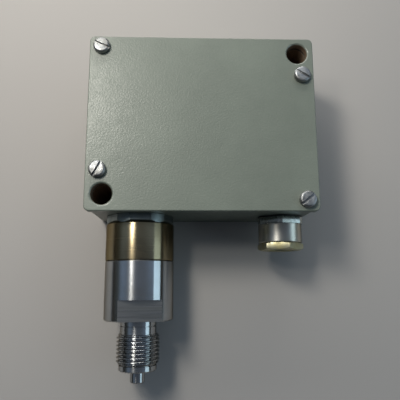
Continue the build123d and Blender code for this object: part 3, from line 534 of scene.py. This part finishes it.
# %% [markdown]
# ## Cutting a thread
# The solids have a plain cylinder where a thread is, at the thread's outside diameter, because a
# helix is heavy to work with in CAD. Here threads are cut as on a lathe. The outline of one groove
# is drawn beside the axis, the Screw modifier sweeps it along a helix, and a Boolean takes that
# sweep away from the piece. The sweep starts and ends in free air, so the first and the last turn
# run out by themselves. The outline is drawn for an axis along Y and swept towards -Y. It has a
# rounded root and rounded crests, and stands out past them, so that the cut leaves no skin.


# %% Helpers for threads
def arc(centre, radius, start, stop, steps=3):
    angles = [math.radians(start + (stop - start) * i / steps) for i in range(steps + 1)]
    return [(centre[0] + radius * math.cos(a), centre[1] + radius * math.sin(a)) for a in angles]


def groove_outline(pitch, crest_r, depth, round_r, flank):
    outside = crest_r + 0.25 * pitch
    root = arc((0.0, crest_r - depth + round_r), round_r, -90.0, -flank)
    crest = arc((pitch / 2, crest_r - round_r), round_r, 180.0 - flank, 100.0)
    half = root + crest + [(crest[-1][0], outside)]
    return [(-y, r) for y, r in reversed(half[1:])] + half


def helical_cutter(outline, pitch, turns, steps):
    mesh = bpy.data.meshes.new("thread_cutter")
    edges = [(i, (i + 1) % len(outline)) for i in range(len(outline))]
    mesh.from_pydata([(r, y, 0.0) for y, r in outline], edges, [])
    cutter = bpy.data.objects.new("thread_cutter", mesh)
    bpy.context.collection.objects.link(cutter)
    sweep = cutter.modifiers.new("helix", "SCREW")
    sweep.axis = "Y"
    sweep.screw_offset = -pitch
    sweep.angle = -2 * math.pi
    sweep.iterations = turns
    sweep.steps = sweep.render_steps = steps
    settle(cutter)
    edit_all(
        cutter,
        lambda: bpy.ops.mesh.remove_doubles(threshold=WELD),
        lambda: bpy.ops.mesh.fill_holes(sides=0),
        lambda: bpy.ops.mesh.normals_make_consistent(inside=False),
    )
    return cutter


# %% [markdown]
# ## The pressure connection
# It ends in a half-inch pipe thread: 14 turns to the inch, flanks at 55 degrees and rounded crests
# and roots. The relief behind the thread and the groove in front of it are already in the solid,
# and so are the chamfers on its steps, so a copy of the solid only needs the thread cut into it.

# %% Thread the pressure connection
PIPE_PITCH = 1.814 * MM
PIPE_CREST_R = 10.4775 * MM
PIPE_DEPTH = 1.162 * MM
PIPE_ROUND_R = 0.249 * MM
PIPE_FLANK = 27.5
THREAD_START = WALL_Y - 57.3 * MM
THREAD_LENGTH = 14.0 * MM
turns = math.ceil(THREAD_LENGTH / PIPE_PITCH) + 2  # one more before the thread and one after it

connection = copy_of_solid("process_connection", "threaded_connection")
groove = groove_outline(PIPE_PITCH, PIPE_CREST_R, PIPE_DEPTH, PIPE_ROUND_R, PIPE_FLANK)
cutter = helical_cutter(groove, PIPE_PITCH, turns, steps=72)
cutter.location = (PORT_X, THREAD_START + PIPE_PITCH, PORT_Z)
settle(cutter)
subtract(connection, cutter)
smooth(connection, 32)
print("turns cut:", turns)

# %% [markdown]
# The wrench flats were milled and not turned, so their marks don't run round the axis, and they
# stay dark where the turned surface beside them shines. Their faces are found by their distance
# from the axis, and get a finish of their own.

# %% Finish the wrench flats
FLAT_DISTANCE = 13.5 * MM
FLAT_SLACK = 0.5 * MM


def finish_faces(piece, material, wanted):
    piece.data.materials.append(material)
    index = len(piece.data.materials) - 1
    chosen = [face for face in piece.data.polygons if wanted(face)]
    for face in chosen:
        face.material_index = index
    print(piece.name, "has", len(chosen), "faces in", material.name)


def on_wrench_flat(face):
    offset = (face.center.x - PORT_X) * face.normal.x + (face.center.z - PORT_Z) * face.normal.z
    return abs(face.normal.y) < 0.02 and abs(offset - FLAT_DISTANCE) < FLAT_SLACK


finish_faces(connection, FLAT_STEEL, on_wrench_flat)
hand_in(connection, "connection_steel", "process_connection")

# %% [markdown]
# ## The cable gland
# Both pieces of the gland are plated brass. The hexagon at the wall keeps the even skin of the
# drawn bar, the barrel was turned and needs the streaky highlights again, and the pressure screw
# has a duller, yellower plate. Copies of the solids take these three finishes, and a narrow bevel
# takes the knife edge off them. Hexagon and barrel are told apart by how far out from the wall
# they are.

# %% Dress the gland
GLAND_EDGE = 0.12 * MM
HEXAGON_START = WALL_Y - 0.5 * MM
HEXAGON_END = WALL_Y - 4.25 * MM

gland = copy_of_solid("gland_body", "turned_gland_body")
soften_edges(gland, GLAND_EDGE)
smooth(gland, 30)
finish_faces(gland, GLAND_HEXAGON, lambda face: HEXAGON_END <= face.center.y < HEXAGON_START)
finish_faces(gland, GLAND_TURNED, lambda face: face.center.y < HEXAGON_END)
hand_in(gland, "gland_plate", "gland_body")

gland_nut = copy_of_solid("gland_screw", "gland_pressure_screw")
soften_edges(gland_nut, GLAND_EDGE)
smooth(gland_nut, 30)
hand_in(gland_nut, "gland_plate", "gland_screw")

# %% [markdown]
# ## Sleeve and collar
# These two only need softer edges. The sleeve is a plain tube of a browner steel than the piece
# below it. The collar is a hexagon turned round at its corners.

# %% Dress the sleeve and the collar
SLEEVE_EDGE = 0.10 * MM
COLLAR_EDGE = 0.15 * MM

sleeve = copy_of_solid("sleeve", "turned_sleeve")
soften_edges(sleeve, SLEEVE_EDGE)
smooth(sleeve, 30)
hand_in(sleeve, "sleeve_steel", "sleeve")

collar = copy_of_solid("sensor_carrier", "hexagon_collar")
soften_edges(collar, COLLAR_EDGE)
smooth(collar, 12)
hand_in(collar, "carrier_metal", "sensor_carrier")

# %% [markdown]
# ## The rims of the mounting bores
# The solid has a plain chamfer round each bore of the lid. Enamel flows together at such an edge,
# so the rim is rounder and glossier than the flat face, and its far side shines. On a copy of the
# lid the two edges of each chamfer are selected and bevelled, and the sloping faces there get a
# glossier coat. The bevel would tilt the shading of the large flat face beside it. The Weighted
# Normal modifier prevents that, because it lets the largest face at each corner set the normal.

# %% Round the rims in the lid
lid = copy_of_solid("cover", "enamelled_lid")
LID_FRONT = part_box("cover")[1][2]
RIM_CHAMFER = 0.6 * MM
RIM_LOOPS = [(BORE_R + RIM_CHAMFER, LID_FRONT), (BORE_R, LID_FRONT - RIM_CHAMFER)]
RIM_ROUNDING = 0.28 * MM
CLOSE = 0.02 * MM


def select_edges(piece, wanted):
    pick(piece)
    bpy.ops.object.mode_set(mode="EDIT")
    bpy.ops.mesh.select_mode(type="EDGE")
    bpy.ops.mesh.select_all(action="DESELECT")
    bpy.ops.object.mode_set(mode="OBJECT")
    places = [vertex.co for vertex in piece.data.vertices]
    for edge in piece.data.edges:
        edge.select = wanted(*(places[index] for index in edge.vertices))
    print(piece.name, "has", sum(edge.select for edge in piece.data.edges), "edges selected")
    bpy.ops.object.mode_set(mode="EDIT")


def on_rim(first, second):
    for radius, height in RIM_LOOPS:
        for x, y in MOUNT_BORES:
            ends = (first, second)
            aside = max(abs(math.hypot(end.x - x, end.y - y) - radius) for end in ends)
            above = max(abs(end.z - height) for end in ends)
            if max(aside, above) < CLOSE:
                return True
    return False


select_edges(lid, on_rim)
bpy.ops.mesh.bevel(offset=RIM_ROUNDING, segments=3, profile=0.5)
bpy.ops.object.mode_set(mode="OBJECT")
smooth(lid, 30)
weights = lid.modifiers.new("flat_faces_first", "WEIGHTED_NORMAL")
weights.keep_sharp = True
settle(lid)


def on_rounded_rim(face):
    away = min(math.hypot(face.center.x - x, face.center.y - y) for x, y in MOUNT_BORES)
    slopes = 0.1 < face.normal.z < 0.998
    return slopes and BORE_R < away < BORE_R + 1.5 * RIM_CHAMFER


finish_faces(lid, RIM_ENAMEL, on_rounded_rim)
hand_in(lid, "cover_paint", "cover")

# %% [markdown]
# ## The cover screws
# Four slotted screws hold the lid. One is modelled and copied. Its head starts as a cylinder, and
# its upper edge gets a wide round bevel. The face under the head is inset to the width of the shank
# and extruded down to the tip, which gets a chamfer.

# %% Head and shank of one screw
SHANK_R = 2.0 * MM
SHANK_L = 12.0 * MM
HEAD_R = 4.0 * MM
HEAD_H = 2.5 * MM
HEAD_EDGE_R = 1.1 * MM
TIP_CHAMFER = 0.45 * MM
SIDES = 48
FLAT_TO_CORNER = math.cos(math.pi / SIDES)
bpy.ops.object.select_all(action="DESELECT")
bpy.ops.mesh.primitive_cylinder_add(
    vertices=SIDES, radius=HEAD_R, depth=HEAD_H, location=(0.0, 0.0, HEAD_H / 2)
)
screw = bpy.context.object
screw.name = "cover_screw"
settle(screw)
select_edges(screw, lambda first, second: min(first.z, second.z) > HEAD_H - CLOSE)
bpy.ops.mesh.bevel(offset=HEAD_EDGE_R, segments=5, profile=0.5)
bpy.ops.object.mode_set(mode="OBJECT")
select_edges(screw, lambda first, second: max(first.z, second.z) < CLOSE)
bpy.ops.mesh.select_mode(type="FACE")
bpy.ops.mesh.inset(thickness=(HEAD_R - SHANK_R) * FLAT_TO_CORNER)
bpy.ops.mesh.extrude_region_move(TRANSFORM_OT_translate={"value": (0.0, 0.0, -SHANK_L)})
bpy.ops.object.mode_set(mode="OBJECT")
select_edges(screw, lambda first, second: max(first.z, second.z) < CLOSE - SHANK_L)
bpy.ops.mesh.bevel(offset=TIP_CHAMFER, segments=1)
bpy.ops.object.mode_set(mode="OBJECT")
print("one screw:", len(screw.data.polygons), "faces")

# %% [markdown]
# The slot is a box taken away from the head, and a small bevel stands for the wear that a
# screwdriver leaves on its edges. The thread comes last, so that the bevel doesn't touch its many
# short edges. It is an ordinary one of 4 mm with flanks at 60 degrees, and it leaves a plain neck
# under the head.

# %% Slot, worn edges and thread
SLOT_W = 1.2 * MM
SLOT_DEPTH = 1.1 * MM
WORN_EDGE = 0.06 * MM
bpy.ops.object.select_all(action="DESELECT")
bpy.ops.mesh.primitive_cube_add(size=1.0, location=(0.0, 0.0, HEAD_H))
slot = bpy.context.object
slot.scale = (3 * HEAD_R, SLOT_W, 2 * SLOT_DEPTH)
settle(slot)
subtract(screw, slot)
soften_edges(screw, WORN_EDGE, over=50.0)
print("slotted:", len(screw.data.polygons), "faces")

SCREW_PITCH = 0.7 * MM
SCREW_DEPTH = 0.43 * MM
SCREW_ROUND_R = 0.06 * MM
SCREW_FLANK = 30.0
PLAIN_NECK = 1.2 * MM
groove = groove_outline(SCREW_PITCH, SHANK_R, SCREW_DEPTH, SCREW_ROUND_R, SCREW_FLANK)
cutter = helical_cutter(groove, SCREW_PITCH, turns=16, steps=24)
cutter.rotation_euler = (math.radians(90.0), 0.0, 0.0)
cutter.location = (0.0, 0.0, -PLAIN_NECK)
settle(cutter)
subtract(screw, cutter)
edit_all(screw, lambda: bpy.ops.mesh.dissolve_degenerate(threshold=0.0001 * MM))
smooth(screw, 35)
print("threaded:", len(screw.data.polygons), "faces")

# %% [markdown]
# Each copy gets its own mesh, the place of its hole in the lid and its own turn, because no two
# slots came to rest at the same angle. The places are millimetres and the turns are degrees.

# %% Set the four screws
SCREW_PLACES = [
    (-49.0, 38.0, -23.0), (49.0, 24.0, -30.0), (-49.0, -24.0, 62.0), (49.0, -38.0, 39.0),
]
screws = []
for x, y, turn in SCREW_PLACES:
    copy = bpy.data.objects.new("cover_screw_copy", screw.data.copy())
    bpy.context.collection.objects.link(copy)
    copy.location = (x * MM, y * MM, LID_FRONT)
    copy.rotation_euler = (0.0, 0.0, math.radians(turn))
    settle(copy)
    screws.append(copy)
bpy.data.objects.remove(screw)
pick(screws[0])
for copy in screws[1:]:
    copy.select_set(True)
bpy.ops.object.join()
slotted_screws = screws[0]
slotted_screws.name = "slotted_cover_screws"
slotted_screws.data.materials.append(SCREW_STEEL)
hand_in(slotted_screws, "screw_steel", "cover_screws")

# %% [markdown]
# ## Studio
# The transmitter lies on a plain, pale floor that catches its shadow. The floor is a tenth of a
# millimetre below the back of the box, so that the two never share a face.

# %% Floor
FLOOR_GAP = 0.1 * MM
bpy.ops.object.select_all(action="DESELECT")
bpy.ops.mesh.primitive_plane_add(size=6.0, location=(0.0, 0.0, -FLOOR_GAP))
floor = bpy.context.object
floor.name = "floor"
floor_material, _ = start_material("floor_pale", (0.43, 0.41, 0.39), 0.85)
floor.data.materials.append(floor_material)
print("floor at height", floor.location.z)

# %% [markdown]
# Polished metal looks like what it mirrors, so four soft lamps stand where the windows and the
# ceiling light of the room must have been. Their places were worked out from the long highlights on
# the turned pieces. A warm window and a small ceiling lamp at the upper left light the left half of
# each, a cool window at the right lights the other half, and a far window beyond the upper edge of
# the lid lights the whole scene softly. Places and sizes are metres, and the power is in watts.


# %% Lights
def add_softbox(name, place, target, size, power, colour):
    light = bpy.data.lights.new(name, "AREA")
    light.shape = "RECTANGLE"
    light.size, light.size_y = size
    light.energy = power
    light.color = colour
    lamp = bpy.data.objects.new(name, light)
    bpy.context.collection.objects.link(lamp)
    lamp.location = place
    away = lamp.location - Vector(target)
    lamp.rotation_euler = away.to_track_quat("Z", "Y").to_euler()


add_softbox(
    "warm_window", place=(-0.17, 0.165, 0.36), target=(-0.03, 0.02, 0.03),
    size=(0.085, 0.12), power=0.95, colour=(1.0, 0.955, 0.87),
)
add_softbox(
    "ceiling_lamp", place=(-0.165, 0.055, 0.36), target=(-0.03, 0.0, 0.03),
    size=(0.05, 0.05), power=0.17, colour=(1.0, 0.96, 0.88),
)
add_softbox(
    "far_window", place=(-0.05, 0.42, 0.22), target=(0.0, 0.06, 0.0),
    size=(0.50, 0.12), power=1.2, colour=(1.0, 0.96, 0.90),
)
add_softbox(
    "cool_window", place=(0.74, -0.16, 0.37), target=(0.0, -0.09, 0.03),
    size=(0.50, 0.36), power=0.90, colour=(0.66, 0.88, 1.0),
)
print("lamps:", [light.name for light in bpy.data.lights])

# %% [markdown]
# The room itself is dim. It is dimmer overhead and on the near side, where whoever takes the
# picture stands, and bluest at half height, where daylight comes in. A colour ramp over the height
# and a strength over the depth of the view direction give it that, and steel would look flat
# without it. A world has a node tree as a material has, so the same helpers build it.

# %% Room
RAMP_ENDS = ((0.02, (0.050, 0.045, 0.038, 1.0)), (0.97, (0.17, 0.195, 0.235, 1.0)))
RAMP_BETWEEN = ((0.30, (0.10, 0.11, 0.11, 1.0)), (0.62, (0.29, 0.37, 0.48, 1.0)))
NEAR_STRENGTH = 0.16
FAR_STRENGTH = 1.15

world = bpy.data.worlds.new("room")
world.use_nodes = True
direction = add_node(world, "ShaderNodeTexCoord")
parts = add_node(world, "ShaderNodeSeparateXYZ")
join(world, direction.outputs["Generated"], parts.inputs["Vector"])
height = add_node(world, "ShaderNodeValToRGB")
ramp = height.color_ramp
ramp.interpolation = "EASE"
for element, (position, colour) in zip(ramp.elements, RAMP_ENDS):
    element.position = position
    element.color = colour
for position, colour in RAMP_BETWEEN:
    ramp.elements.new(position).color = colour
join(world, parts.outputs["Z"], height.inputs["Fac"])
strength = remap(world, parts.outputs["Y"], -0.45, 0.45, NEAR_STRENGTH, FAR_STRENGTH)
background = world.node_tree.nodes["Background"]
join(world, height.outputs["Color"], background.inputs["Color"])
join(world, strength, background.inputs["Strength"])
bpy.context.scene.world = world
bpy.context.scene.view_settings.view_transform = "Standard"
print("studio ready")
